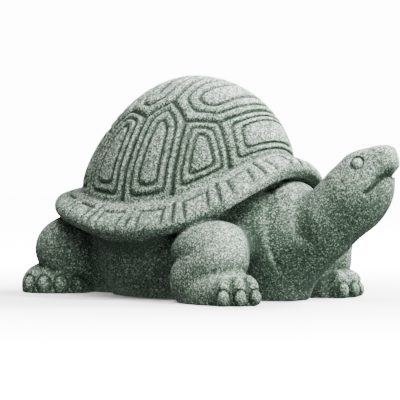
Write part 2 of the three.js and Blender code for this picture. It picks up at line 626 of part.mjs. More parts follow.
// Thins the skin by joining the two ends of the edge that matters least, again and again. Each point
// carries the planes it has stood for, so flat parts keep few triangles and the grooves keep many.
function thinOut(positions, faces, keep) {
  const count = positions.length / 3;
  const planes = new Float64Array(count * 10);
  const around = Array.from({ length: count }, () => []);
  const stamp = new Int32Array(count);
  const gone = new Uint8Array(faces.length / 3);
  const normal = (f, moved, to) => {
    const corner = [0, 1, 2].map((n) => {
      const v = faces[3 * f + n];
      return v === moved ? to : positions.subarray(3 * v, 3 * v + 3);
    });
    const [a, b, c] = corner;
    const ux = b[0] - a[0];
    const uy = b[1] - a[1];
    const uz = b[2] - a[2];
    const vx = c[0] - a[0];
    const vy = c[1] - a[1];
    const vz = c[2] - a[2];
    return [uy * vz - uz * vy, uz * vx - ux * vz, ux * vy - uy * vx];
  };
  for (let f = 0; f < gone.length; f += 1) {
    const [nx, ny, nz] = normal(f, -1, null);
    const length = Math.hypot(nx, ny, nz) || 1e-12;
    const [ux, uy, uz] = [nx / length, ny / length, nz / length];
    for (let n = 0; n < 3; n += 1) {
      const v = faces[3 * f + n];
      const [x, y, z] = positions.subarray(3 * v, 3 * v + 3);
      const off = -(ux * x + uy * y + uz * z);
      const own = 0.0004;
      const add = [ux * ux + own, ux * uy, ux * uz, ux * off - own * x, uy * uy + own, uy * uz,
        uy * off - own * y, uz * uz + own, uz * off - own * z, off * off + own * (x * x + y * y + z * z)];
      for (let m = 0; m < 10; m += 1) {
        planes[10 * v + m] += (add[m] * length) / 2;
      }
      around[v].push(f);
    }
  }
  const heap = { cost: [], from: [], to: [], mark: [] };
  const swap = (a, b) => {
    Object.values(heap).forEach((list) => {
      const held = list[a];
      list[a] = list[b];
      list[b] = held;
    });
  };
  const push = (cost, from, to) => {
    let n = heap.cost.length;
    heap.cost.push(cost);
    heap.from.push(from);
    heap.to.push(to);
    heap.mark.push(stamp[from] + stamp[to]);
    while (n > 0 && heap.cost[(n - 1) >> 1] > heap.cost[n]) {
      swap(n, (n - 1) >> 1);
      n = (n - 1) >> 1;
    }
  };
  const pop = () => {
    swap(0, heap.cost.length - 1);
    const top = [heap.from.pop(), heap.to.pop(), heap.mark.pop(), heap.cost.pop()];
    let n = 0;
    for (;;) {
      let least = n;
      for (let child = 2 * n + 1; child < 2 * n + 3; child += 1) {
        if (child < heap.cost.length && heap.cost[child] < heap.cost[least]) {
          least = child;
        }
      }
      if (least === n) {
        return top;
      }
      swap(n, least);
      n = least;
    }
  };
  const cost = (q, x, y, z) =>
    q[0] * x * x + 2 * q[1] * x * y + 2 * q[2] * x * z + 2 * q[3] * x + q[4] * y * y +
    2 * q[5] * y * z + 2 * q[6] * y + q[7] * z * z + 2 * q[8] * z + q[9];
  const q = new Float64Array(10);
  const bestPoint = (a, b) => {
    for (let m = 0; m < 10; m += 1) {
      q[m] = planes[10 * a + m] + planes[10 * b + m];
    }
    const c0 = q[4] * q[7] - q[5] * q[5];
    const c1 = q[2] * q[5] - q[1] * q[7];
    const c2 = q[1] * q[5] - q[2] * q[4];
    const det = q[0] * c0 + q[1] * c1 + q[2] * c2;
    const x = -(c0 * q[3] + c1 * q[6] + c2 * q[8]) / det;
    const y = -(c1 * q[3] + (q[0] * q[7] - q[2] * q[2]) * q[6] + (q[1] * q[2] - q[0] * q[5]) * q[8]) / det;
    const z = -(c2 * q[3] + (q[1] * q[2] - q[0] * q[5]) * q[6] + (q[0] * q[4] - q[1] * q[1]) * q[8]) / det;
    return [x, y, z, Math.max(cost(q, x, y, z), 0)];
  };
  const offer = (a, b) => {
    push(bestPoint(a, b)[3], a, b);
  };
  for (let f = 0; f < gone.length; f += 1) {
    for (let n = 0; n < 3; n += 1) {
      const a = faces[3 * f + n];
      const b = faces[3 * f + ((n + 1) % 3)];
      if (a < b) {
        offer(a, b);
      }
    }
  }
  const neighbours = (v) => {
    const found = new Set();
    around[v].forEach((f) => {
      for (let n = 0; n < 3; n += 1) {
        found.add(faces[3 * f + n]);
      }
    });
    found.delete(v);
    return found;
  };
  const turnsOver = (v, other, to) => around[v].some((f) => {
    const corners = [faces[3 * f], faces[3 * f + 1], faces[3 * f + 2]];
    if (corners.includes(other)) {
      return false;
    }
    const a = normal(f, -1, null);
    const b = normal(f, v, to);
    const both = Math.hypot(...a) * Math.hypot(...b);
    return a[0] * b[0] + a[1] * b[1] + a[2] * b[2] < 0.25 * both || Math.hypot(...b) < 1e-4;
  });
  let left = gone.length;
  while (left > keep && heap.cost.length > 0) {
    const [a, b, mark] = pop();
    if (around[a].length > 0 && around[b].length > 0 && mark === stamp[a] + stamp[b]) {
      const beside = neighbours(b);
      const shared = [...neighbours(a)].filter((v) => beside.has(v));
      const to = bestPoint(a, b).slice(0, 3);
      if (shared.length === 2 && !turnsOver(a, b, to) && !turnsOver(b, a, to)) {
        positions.set(to, 3 * a);
        for (let m = 0; m < 10; m += 1) {
          planes[10 * a + m] += planes[10 * b + m];
        }
        around[b].forEach((f) => {
          const corners = [faces[3 * f], faces[3 * f + 1], faces[3 * f + 2]];
          if (corners.includes(a)) {
            gone[f] = 1;
            left -= 1;
            shared.forEach((v) => {
              around[v] = around[v].filter((one) => one !== f);
            });
          } else {
            faces[3 * f + corners.indexOf(b)] = a;
            around[a].push(f);
          }
        });
        around[a] = around[a].filter((f) => gone[f] === 0);
        around[b] = [];
        stamp[a] += 1;
        neighbours(a).forEach((v) => {
          offer(a, v);
        });
      }
    }
  }
  const kept = [];
  for (let f = 0; f < gone.length; f += 1) {
    if (gone[f] === 0) {
      kept.push(faces[3 * f], faces[3 * f + 1], faces[3 * f + 2]);
    }
  }
  return kept;
}

// The finished body, moved so that the origin is the middle of its underside's box.
function turtleGeometry() {
  const { positions, faces: all } = makeSkin();
  const faces = outerFaces(all, positions.length / 3);
  settle(positions);
  const kept = thinOut(positions, faces, TRIANGLES);
  const renamed = new Map();
  const points = [];
  const index = kept.map((v) => {
    if (!renamed.has(v)) {
      renamed.set(v, points.length / 3);
      points.push(positions[3 * v], positions[3 * v + 1], Math.max(positions[3 * v + 2], 0));
    }
    return renamed.get(v);
  });
  const geometry = new THREE.BufferGeometry();
  geometry.setAttribute('position', new THREE.Float32BufferAttribute(points, 3));
  geometry.setIndex(index);
  geometry.computeBoundingBox();
  const middle = geometry.boundingBox.getCenter(new THREE.Vector3());
  geometry.translate(-middle.x, -middle.y, 0);
  geometry.computeVertexNormals();
  return geometry;
}

const stone = new THREE.MeshStandardMaterial({ color: 0x7c8f83, roughness: 0.85, metalness: 0 });
const turtle = new THREE.Mesh(turtleGeometry(), stone);
turtle.name = 'stone_turtle';

const figureGroup = new THREE.Group();
figureGroup.name = 'stone_turtle_figure';
figureGroup.add(turtle);

export default figureGroup;
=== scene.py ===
import bpy
import numpy as np
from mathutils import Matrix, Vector


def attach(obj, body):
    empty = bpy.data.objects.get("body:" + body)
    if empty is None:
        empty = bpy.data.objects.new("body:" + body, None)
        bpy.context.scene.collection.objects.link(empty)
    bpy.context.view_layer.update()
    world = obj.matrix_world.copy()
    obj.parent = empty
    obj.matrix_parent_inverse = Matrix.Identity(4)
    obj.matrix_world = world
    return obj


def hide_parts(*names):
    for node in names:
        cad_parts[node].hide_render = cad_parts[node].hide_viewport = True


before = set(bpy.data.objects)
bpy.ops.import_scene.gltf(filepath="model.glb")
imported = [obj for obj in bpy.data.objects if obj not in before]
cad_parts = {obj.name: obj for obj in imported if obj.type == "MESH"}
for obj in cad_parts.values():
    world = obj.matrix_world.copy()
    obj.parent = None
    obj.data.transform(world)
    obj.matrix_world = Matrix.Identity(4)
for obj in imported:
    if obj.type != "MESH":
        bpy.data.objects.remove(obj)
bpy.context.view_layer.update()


# The view.
# The camera stands low, on the turtle's right side and ahead of it, two metres off with a long lens,
# so the figure shows from the side with its head coming forward.
CAMERA_TURN = np.radians(44.0)
CAMERA_RISE = np.radians(1.5)
CAMERA_AWAY = 2.0
VIEW_WIDTH = 0.280
SENSOR_WIDTH = 36
VIEW_MIDDLE = np.array([12.2, 0.0, 66.6]) / 1000
# From the middle of the shell, where the shapes below are measured, to the middle of the figure.
MIDDLE_AHEAD = 29.92
MIDDLE_LEFT = -1.27

camera = bpy.data.objects.new("camera", bpy.data.cameras.new("camera"))
bpy.context.scene.collection.objects.link(camera)
backwards = np.array([
    np.sin(CAMERA_TURN) * np.cos(CAMERA_RISE),
    -np.cos(CAMERA_TURN) * np.cos(CAMERA_RISE),
    np.sin(CAMERA_RISE),
])
looked_at = VIEW_MIDDLE - np.array([MIDDLE_AHEAD, MIDDLE_LEFT, 0]) / 1000
camera.location = Vector(looked_at + CAMERA_AWAY * backwards)
camera.rotation_euler = Vector(-backwards).to_track_quat("-Z", "Y").to_euler()
camera.data.sensor_width = SENSOR_WIDTH
camera.data.lens = SENSOR_WIDTH * CAMERA_AWAY / VIEW_WIDTH
bpy.context.scene.camera = camera


# The studio.
# A pale floor in front of a lit white wall, under four soft lamps: the key high on the camera's right, a
# side lamp behind it, a weak one overhead and a low one in front. The floor glows away from the figure,
# where it runs back to the wall, so that no horizon shows; towards the figure the glow fades, which paints
# a soft pool of shade round it.
FLOOR_HALF = 6
WALL_AWAY = 2.7
WALL_HALF = 5
WALL_HIGH = 5
WALL_GLOW = 12.0
FLOOR_DARK_TO_LIT = (0.04, 0.55)
SHEET_WHITE = (0.86, 0.86, 0.86)
LAMP_AIM = 0.08
LAMPS = {
    "key lamp": {"near": 0.53, "right": 0.96, "up": 1.3, "power": 82, "size": 0.4},
    "side lamp": {"near": -0.62, "right": 1.09, "up": 0.99, "power": 120, "size": 0.4},
    "top lamp": {"near": 0.41, "right": -0.22, "up": 1.43, "power": 28, "size": 0.6},
    "front lamp": {"near": 1.5, "right": 0.9, "up": 0.3, "power": 46, "size": 0.6},
}
ROOM_LIGHT = 0.6
level_near = np.array([np.sin(CAMERA_TURN), -np.cos(CAMERA_TURN), 0])
level_right = np.array([np.cos(CAMERA_TURN), np.sin(CAMERA_TURN), 0])


def plain_sheet(name, corners, glow, dark_within=None):
    """A flat four-cornered sheet of plain white, glowing all over or only away from the figure. It lights
    neither the figure nor its reflections, which are left to the lamps."""
    shape = bpy.data.meshes.new(name)
    shape.from_pydata(corners, [], [(0, 1, 2, 3)])
    surface = bpy.data.materials.new(name)
    surface.use_nodes = True
    nodes, links = surface.node_tree.nodes, surface.node_tree.links
    shader = nodes["Principled BSDF"]
    shader.inputs["Base Color"].default_value = (*SHEET_WHITE, 1)
    shader.inputs["Roughness"].default_value = 0.9
    shader.inputs["Emission Color"].default_value = (1, 1, 1, 1)
    shader.inputs["Emission Strength"].default_value = glow
    if dark_within:
        away = nodes.new("ShaderNodeVectorMath")
        away.operation = "LENGTH"
        links.new(nodes.new("ShaderNodeTexCoord").outputs["Object"], away.inputs[0])
        rise = nodes.new("ShaderNodeMapRange")
        rise.interpolation_type = "SMOOTHSTEP"
        for socket, value in zip(rise.inputs[1:5], (*dark_within, 0, glow)):
            socket.default_value = value
        links.new(away.outputs["Value"], rise.inputs[0])
        links.new(rise.outputs[0], shader.inputs["Emission Strength"])
    shape.materials.append(surface)
    sheet = bpy.data.objects.new(name, shape)
    sheet.visible_diffuse = False
    sheet.visible_glossy = False
    bpy.context.scene.collection.objects.link(sheet)


def soft_lamp(name, place, power, size):
    """A square lamp aimed at the figure."""
    lamp = bpy.data.objects.new(name, bpy.data.lights.new(name, "AREA"))
    lamp.data.size = size
    lamp.data.energy = power
    lamp.location = Vector(place)
    lamp.rotation_euler = (Vector((0, 0, LAMP_AIM)) - lamp.location).to_track_quat("-Z", "Y").to_euler()
    bpy.context.scene.collection.objects.link(lamp)


floor_corners = [(-FLOOR_HALF, -FLOOR_HALF, 0), (FLOOR_HALF, -FLOOR_HALF, 0)]
floor_corners += [(-x, -y, z) for x, y, z in floor_corners]
plain_sheet("floor", floor_corners, WALL_GLOW, FLOOR_DARK_TO_LIT)
wall_foot = [-WALL_AWAY * level_near + side * WALL_HALF * level_right for side in (-1, 1)]
wall_head = [place + (0, 0, WALL_HIGH) for place in wall_foot[::-1]]
plain_sheet("wall", [tuple(place) for place in wall_foot + wall_head], WALL_GLOW)
for name, lamp in LAMPS.items():
    place = lamp["near"] * level_near + lamp["right"] * level_right + (0, 0, lamp["up"])
    soft_lamp(name, place, lamp["power"], lamp["size"])

room = bpy.data.worlds.new("room")
room.use_nodes = True
room.node_tree.nodes["Background"].inputs["Color"].default_value = (1, 1, 1, 1)
room.node_tree.nodes["Background"].inputs["Strength"].default_value = ROOM_LIGHT
bpy.context.scene.world = room


# The block of stone.
# The whole turtle is one block of granite, carved. Each form below gives the distance to its surface
# in millimetres, negative inside, and the forms are joined with soft creases as a mason leaves them.
def soft_join(first, second, crease):
    """The nearer of two surfaces, filled in where they meet over a width of crease."""
    share = np.clip(0.5 + 0.5 * (second - first) / crease, 0, 1)
    return second + (first - second) * share - crease * share * (1 - share)


def soft_cut(first, second, edge):
    """What two solids have in common, with the edge between them rounded."""
    return -soft_join(-first, -second, edge)


def fade(start, end, value):
    """Rises smoothly from 0 at start to 1 at end."""
    share = np.clip((value - start) / (end - start), 0, 1)
    return share * share * (3 - 2 * share)


def between(ends, share):
    """A value that goes from the first of two to the second as the share goes from 0 to 1."""
    return ends[0] + (ends[1] - ends[0]) * share


def groove(gap, width, depth):
    """Depth of a rounded groove at a distance from its middle line: depth times e to the power of minus
    the square of gap over width."""
    return depth * np.exp(-np.minimum((gap / width) ** 2, 30))


def rounded_mass(x, y, z, at, radii, yaw, pitch, power, exact=14):
    """An ellipsoid at power 2, with fuller corners above that: the ratios to the radii, raised to the
    power and summed, are 1 on the surface. Dividing by the slope of that sum turns it into a distance.
    Farther off than exact, a ball round it serves instead."""
    dx, dy, dz = x - at[0], y - at[1], z - at[2]
    distance = np.sqrt(dx * dx + dy * dy + dz * dz) - max(radii) * (1.25 if power > 2 else 1)
    near = distance < exact
    dx, dy, dz = dx[near], dy[near], dz[near]
    yaw, pitch = np.radians(yaw), np.radians(pitch)
    ahead = dx * np.cos(yaw) + dy * np.sin(yaw)
    a = np.abs(ahead * np.cos(pitch) + dz * np.sin(pitch)) / radii[0]
    b = np.abs(dy * np.cos(yaw) - dx * np.sin(yaw)) / radii[1]
    c = np.abs(dz * np.cos(pitch) - ahead * np.sin(pitch)) / radii[2]
    if power == 2:
        size = np.maximum(np.sqrt(a * a + b * b + c * c), 1e-6)
        slope = np.sqrt((a / radii[0]) ** 2 + (b / radii[1]) ** 2 + (c / radii[2]) ** 2)
        distance[near] = size * (size - 1) / np.maximum(slope, 1e-9)
    else:
        an, bn, cn = a ** (power - 1), b ** (power - 1), c ** (power - 1)
        size = (an * a + bn * b + cn * c) ** (1 / power)
        slope = np.sqrt((an / radii[0]) ** 2 + (bn / radii[1]) ** 2 + (cn / radii[2]) ** 2)
        slope = slope / np.maximum(size, 1e-6) ** (power - 1)
        distance[near] = (size - 1) / np.maximum(slope, 1e-4)
    return distance


def tapered_bar(x, y, z, start, end, thick, thin):
    """A round bar from one ball to another: distance to the line between them, less a radius that
    runs from thick to thin along it."""
    start, end = np.array(start, float), np.array(end, float)
    line = end - start
    dx, dy, dz = x - start[0], y - start[1], z - start[2]
    share = np.clip((dx * line[0] + dy * line[1] + dz * line[2]) / (line @ line), 0, 1)
    gap = np.sqrt((dx - share * line[0]) ** 2 + (dy - share * line[1]) ** 2 + (dz - share * line[2]) ** 2)
    return gap - between((thick, thin), share)


# The shell.
# A high dome cut into thirteen plates with deep seams and two thinner rings inside each plate, over a
# flared band of small plates that runs round it, high over the neck and low at the sides.
DOME_LONG = 83.5
DOME_WIDE = 65.5
DOME_TOP = 154
DOME_LEAN = 7
DOME_LEAN_FROM = 88
DOME_FOOT = (99.5, 65.5, 75, 2.5)
DOME_FULLNESS = 0.65
DOME_FULLNESS_TURN = 0.04
DOME_SKIRT = 14
DOME_FUNNEL = 200
DOME_FUNNEL_SLOPE = 2.8
DOME_CARVING_REACH = 12
SEAM_WIDTH = 1.6
SEAM_DEPTH = 2.6
RING_WIDTH = 1.15
RING_DEPTH = 1.8
RING_CORNER = 1.4
FOOT_BORDER_EXTRA = -1.5
INSIDE_RIM = 0.999
FRONT_SAG = {"drop": 0.09, "wide": 0.365, "at": 0.58, "long": 0.25}
BAND_LONG = (107, 102)
BAND_WIDE = 85
LIP_HEIGHT = (90, 48, 67, 3.5)
LIP_RADIUS = 6.5
BAND_ROOT_IN = 5
BAND_ROOT_DOWN = 8
BAND_ROOT_RADIUS = 8
BAND_SWELL = 1.2
BAND_PLATE_ANGLE = np.radians(20)
BAND_PLATE_SHIFT = -0.06
BAND_ARCH_HALF = 7.8
BAND_ARCH_DROP = 6.5
BAND_GROOVE = 1.2
BAND_DEPTH = 2.2
BAND_SEAM_FROM = (0.5, 3)
BAND_ARCH_BLEND = 1.5
BAND_LIP_FADE = (-1, 4)
BAND_CARVING_REACH = 8


def round_the_shell(heights, cosine):
    """A height that runs from its front value through its side value to its rear one."""
    front, side, rear, power = heights
    return side + (front - side) * np.maximum(cosine, 0) ** power + (rear - side) * np.maximum(-cosine, 0)


def plate_list():
    """Corners, ring border and ring step of each plate, with the dome flattened to a disc whose middle
    is the crown and whose rim is the dome's foot."""
    corner = {
        "front": (0.53, 0.365), "shoulder": (0.31, 0.47), "back": (0.12, 0.365), "middle": (-0.01, 0.5),
        "loin": (-0.2, 0.42), "hip": (-0.36, 0.52), "tail": (-0.52, 0.33),
    }
    for angle in (30, 61, 90, 120, 150):
        corner[angle] = (np.cos(np.radians(angle)), np.sin(np.radians(angle)))
    beside = [
        (["front", 30, 61, "shoulder"], 5.2, 5),
        (["shoulder", 61, 90, "middle", "back"], 5.2, 5.2),
        (["middle", 90, 120, "hip", "loin"], 5.2, 5),
        (["hip", 120, 150, "tail"], 5.2, 5),
    ]
    across = [
        ([30, "front"], 7, 6.5),
        (["front", "shoulder", "back"], 7.5, 7),
        (["back", "middle", "loin"], 7.5, 7),
        (["loin", "hip", "tail"], 7, 6.5),
        (["tail", 150], 6.5, 6),
    ]
    plates = []
    for names, border, step in beside:
        for side in (1, -1):
            plates.append(([(corner[n][0], side * corner[n][1]) for n in names], border, step))
    for names, border, step in across:
        half = [corner[n] for n in names]
        plates.append((half + [(a, -b) for a, b in half[::-1]], border, step))
    return plates


def plate_seams(corners):
    """Each straight seam of a plate as a point on it and the direction into the plate. An edge that
    lies on the dome's foot isn't a seam."""
    ends = np.array(corners)
    nexts = np.roll(ends, -1, axis=0)
    turn = np.sign((ends[:, 0] * nexts[:, 1] - nexts[:, 0] * ends[:, 1]).sum())
    run = nexts - ends
    inward = np.stack([-run[:, 1], run[:, 0]], 1) * turn / np.hypot(run[:, 0], run[:, 1])[:, None]
    inner = (np.hypot(*ends.T) < INSIDE_RIM) | (np.hypot(*nexts.T) < INSIDE_RIM)
    return ends[inner], inward[inner]


SHELL_PLATES = [(*plate_seams(corners), border, step) for corners, border, step in plate_list()]


def plate_gaps(x, y, z, cosine, sine, radius, rise, foot):
    """Distances along the dome's skin from the nearest seam and from the first ring of the plate, and the
    step from that ring to the second. The point is flattened onto the disc of plates, and its distance
    in from each seam of each plate is measured in millimetres; the rings turn the corners smoothly."""
    out = np.arctan2(radius, np.maximum(rise, 0)) / (np.pi / 2)
    flat_x, flat_y = out * cosine, out * sine
    bow = np.maximum(1 - (flat_y / FRONT_SAG["wide"]) ** 2, 0)
    bow = bow * np.exp(-((flat_x - FRONT_SAG["at"]) / FRONT_SAG["long"]) ** 2)
    flat_x = flat_x - FRONT_SAG["drop"] * bow
    up = np.maximum((np.pi / 2) * np.sqrt(x * x + y * y + (z - foot) ** 2), 30)
    wide = np.hypot(DOME_LONG * cosine, DOME_WIDE * sine)
    about = np.where(radius > 1e-3, out / np.maximum(radius * wide, 1e-6), 2 / (np.pi * wide))
    best = np.full(x.shape, -1000.0)
    border = np.zeros(x.shape)
    step = np.zeros(x.shape)
    inner = np.zeros(x.shape)
    foot_inset = (1 - out) * up - FOOT_BORDER_EXTRA
    for points, inward, plate_border, plate_step in SHELL_PLATES:
        inset = np.full(x.shape, 1000.0)
        blend = np.exp(-foot_inset / RING_CORNER)
        for (x0, y0), (nx, ny) in zip(points, inward):
            over = (flat_x - x0) * nx + (flat_y - y0) * ny
            outwards = (nx * cosine + ny * sine) / up
            sideways = (ny * cosine - nx * sine) * about
            over = over / np.hypot(outwards, sideways)
            inset = np.minimum(inset, over)
            blend = blend + np.exp(-np.clip(over, -20, 200) / RING_CORNER)
        owns = inset > best
        inner = np.where(owns, -RING_CORNER * np.log(blend), inner)
        best = np.where(owns, inset, best)
        border = np.where(owns, plate_border, border)
        step = np.where(owns, plate_step, step)
    return best, inner - border, step


def in_plan(x, y, z):
    """A point over the dome's oval plan, the lean taken off: x, the direction and length of its radius in
    shares of the plan's own, its rise as a share of the dome's, and the height of the foot there."""
    x = x - DOME_LEAN * np.clip((z - DOME_LEAN_FROM) / (DOME_TOP - DOME_LEAN_FROM), 0, 1)
    ex, ey = x / DOME_LONG, y / DOME_WIDE
    radius = np.maximum(np.hypot(ex, ey), 1e-9)
    cosine, sine = ex / radius, ey / radius
    foot = round_the_shell(DOME_FOOT, cosine)
    return x, cosine, sine, radius, (z - foot) / (DOME_TOP - foot), foot


def dome(x, y, z):
    """The dome: radius squared plus rise to a power is 1 on its skin, with an oval plan and a crown that
    leans ahead. The carving is let into the skin, and a funnel cuts off what lies below its foot."""
    x, cosine, sine, radius, rise, foot = in_plan(x, y, z)
    ex, ey = x / DOME_LONG, y / DOME_WIDE
    high = DOME_TOP - foot
    power = 1 / (DOME_FULLNESS - DOME_FULLNESS_TURN * cosine)
    lift = np.maximum(rise, 0)
    upward = power * lift ** (power - 1) / high
    slope = np.sqrt((2 * ex / DOME_LONG) ** 2 + (2 * ey / DOME_WIDE) ** 2 + upward ** 2)
    skin = (radius * radius + lift ** power - 1) / np.maximum(slope, 0.006)
    under = (foot - DOME_SKIRT - (1 - radius) * DOME_FUNNEL - z) / DOME_FUNNEL_SLOPE
    share = 1 - np.abs(skin) / DOME_CARVING_REACH
    near = (share > 0) & (under <= 0)
    places = (one[near] for one in (x, y, z, cosine, sine, radius, rise, foot))
    seam, ring, step = plate_gaps(*places)
    cut = groove(seam, SEAM_WIDTH, SEAM_DEPTH) + groove(ring, RING_WIDTH, RING_DEPTH)
    skin[near] += share[near] * (cut + groove(ring - step, RING_WIDTH, RING_DEPTH))
    return np.maximum(skin, under)


def band_gaps(x, y, z):
    """Distances at the band: to its plain surface, up from the lip, out from the dome's foot, and from
    the nearest seam and the middle of the small plate. The band is a rounded bar bent round the dome
    from its foot out to the lip."""
    reach = np.maximum(np.hypot(x, y), 1e-9)
    px, py = x / reach, y / reach
    long = np.where(x > 0, *BAND_LONG)
    lip_reach = 1 / np.hypot(px / long, py / BAND_WIDE) - LIP_RADIUS
    foot_reach = 1 / np.hypot(px / DOME_LONG, py / DOME_WIDE)
    turn = np.arctan2(y / BAND_WIDE, x / long)
    lip_z = round_the_shell(LIP_HEIGHT, np.cos(turn))
    in_r = foot_reach - BAND_ROOT_IN - lip_reach
    in_z = round_the_shell(DOME_FOOT, np.cos(turn)) - BAND_ROOT_DOWN - lip_z
    length = np.hypot(in_r, in_z)
    qr, qz = reach - lip_reach, z - lip_z
    share = np.clip((qr * in_r + qz * in_z) / length ** 2, 0, 1)
    thick = between((LIP_RADIUS, BAND_ROOT_RADIUS), share) + BAND_SWELL * 4 * share * (1 - share)
    gap = np.hypot(qr - share * in_r, qz - share * in_z) - thick
    from_foot = (1 - share) * length - BAND_ROOT_IN
    place = turn / BAND_PLATE_ANGLE + BAND_PLATE_SHIFT + 0.5
    offset = np.abs(place - np.floor(place) - 0.5)
    arc = BAND_PLATE_ANGLE * reach
    return gap, qz, from_foot, offset * arc, (0.5 - offset) * arc


def band(x, y, z):
    """The band, with seams between its small plates and an arch cut into each, all fading to the lip."""
    gap, up, from_foot, from_seam, from_middle = band_gaps(x, y, z)
    seam = groove(from_seam, BAND_GROOVE, BAND_DEPTH) * fade(*BAND_SEAM_FROM, from_foot)
    sides = groove(from_middle - BAND_ARCH_HALF, BAND_GROOVE, BAND_DEPTH)
    sides = sides * fade(BAND_ARCH_DROP - BAND_ARCH_BLEND, BAND_ARCH_DROP, from_foot)
    cap = groove(from_foot - BAND_ARCH_DROP, BAND_GROOVE, BAND_DEPTH)
    cap = cap * fade(0, BAND_ARCH_BLEND, BAND_ARCH_HALF + 1 - from_middle)
    carving = np.maximum(np.maximum(seam, sides), cap) * fade(*BAND_LIP_FADE, up)
    return gap + np.clip(1 - np.abs(gap) / BAND_CARVING_REACH, 0, 1) * carving


# The legs.
# Four thick legs folded under the body: shoulder, elbow and foot run into one another with creases,
# and each foot ends in a fan of toes with an oval claw let into every toe.
TOE_CREASE = 2.2
TOE_LIFT = 0.6
CLAW_LIFT = 0.5
CLAW_BACK = 2
CLAW_GAP = 1
CLAW_GROOVE = 0.9
CLAW_DEPTH = 1.2
FOOT_REACH = 16
HIND_BEHIND = 15
RIGHT_FRONT = {
    "masses": [
        ((72.5, 63, 15), (20, 18, 18.5), -5, 0, 2.3, 0),
        ((83, 62, 21), (24, 18, 14), 8, 20, 2, 6),
        ((72, 53, 36), (28.5, 22, 19), -6, 10, 2, 1.2),
        ((84, 58, 30), (24, 18, 18), 0, 0, 2, 8),
        ((86, 66, 5), (27, 17, 17), 10, 0, 2.3, 3),
        ((100, 64, 6), (20, 18, 17.5), 25, 0, 2.2, 3),
    ],
    "fan": ((99, 62), 31, 19, 24, 3),
    "toe": (10.5, 6, 12.5),
    "claw": (3.2, 3.9, 4.8),
}
LEFT_FRONT = {
    "masses": [
        ((72, 53, 36), (31, 23, 19), -6, 10, 2, 0),
        ((82, 50, 27), (20, 17, 18), 0, 0, 2, 8),
        ((62, 58, 15), (21, 19, 19), -5, 0, 2.4, 3),
        ((76, 53, 19), (24, 17, 15), 0, 10, 2, 7),
        ((86, 46, 6), (21, 19, 17), 10, 0, 2.2, 2),
    ],
    "fan": ((86, 46), 10, 18, 25, 3),
    "toe": (10, 7, 12),
    "claw": (3.2, 3.9, 4.8),
}
HIND = {
    "masses": [
        ((-75, 39.5, 31), (24, 27, 24), 46, 0, 2, 0),
        ((-88, 42, 5), (26, 26, 18), 46, 0, 2.2, 1.5),
    ],
    "fan": ((-88, 42), 53, 19, 27.5, 4),
    "toe": (9, 6.8, 12),
    "claw": (3.2, 4.1, 5.8),
}


def leg(x, y, z, sizes):
    """A leg, with outward positive: its masses joined in turn, toes fanned round the foot, and on each
    toe a claw with a groove round it."""
    distance = None
    for at, radii, yaw, pitch, power, crease in sizes["masses"]:
        one = rounded_mass(x, y, z, at, radii, yaw, pitch, power)
        distance = one if distance is None else soft_join(distance, one, crease)
    (fan_x, fan_y), heading, reach, spread, count = sizes["fan"]
    toe, claw = sizes["toe"], sizes["claw"]
    angles = [heading + (n - (count - 1) / 2) * spread for n in range(count)]
    near = np.sqrt((x - fan_x) ** 2 + (y - fan_y) ** 2 + z * z) < reach + toe[0] + FOOT_REACH
    x, y, z, foot = x[near], y[near], z[near], distance[near]
    for angle in angles:
        c, s = np.cos(np.radians(angle)), np.sin(np.radians(angle))
        at = (fan_x + reach * c, fan_y + reach * s, toe[2] * TOE_LIFT)
        foot = soft_join(foot, rounded_mass(x, y, z, at, toe, angle, 0, 2), TOE_CREASE)
    for angle in angles:
        c, s = np.cos(np.radians(angle)), np.sin(np.radians(angle))
        tip = reach + toe[0] - CLAW_BACK
        at = (fan_x + tip * c, fan_y + tip * s, claw[2] + CLAW_LIFT)
        one = rounded_mass(x, y, z, at, claw, angle, 0, 2)
        foot = np.minimum(foot + groove(one - CLAW_GAP, CLAW_GROOVE, CLAW_DEPTH), one)
    distance[near] = foot
    return distance


def legs(x, y, z):
    """All four legs: the front pair differ a little, the hind pair mirror each other."""
    distance = np.full(x.shape, 1000.0)
    for side, sizes in ((-1, RIGHT_FRONT), (1, LEFT_FRONT)):
        ahead = (x > HIND_BEHIND) & (side * y > 0)
        distance[ahead] = leg(x[ahead], side * y[ahead], z[ahead], sizes)
    behind = x <= HIND_BEHIND
    distance[behind] = leg(x[behind], np.abs(y[behind]), z[behind], HIND)
    return distance


# The body and tail.
# A broad belly close to the ground, a deep breast cut off by a sloping face whose rim stands as a ridge
# round the root of the neck, and a short blunt tail.
BELLY = ((10, 0, 30), (74, 66, 48), 0, 0, 2, 40)
RUMP = ((-60, 0, 29), (37, 46, 34), 0, 0, 2.3)
BREAST = ((66, 0, 38), (58, 35, 37), 0, 0, 2.4)
KEEL = ((80, 0, 14), (31, 24, 24), 0, 0, 2.3)
KEEL_CREASE = 4
BREAST_FACE = {"ahead": 0.97, "up": 0.24, "reach": 108.5, "edge": 2}
TAIL = ((-78, 0, 24), (-97, 5, 12), 17, 9)


def breast(x, y, z):
    """The breast, sliced by its sloping face."""
    face = BREAST_FACE["ahead"] * x + BREAST_FACE["up"] * z - BREAST_FACE["reach"]
    upper = soft_cut(rounded_mass(x, y, z, *BREAST), face, BREAST_FACE["edge"])
    return soft_join(upper, rounded_mass(x, y, z, *KEEL), KEEL_CREASE)


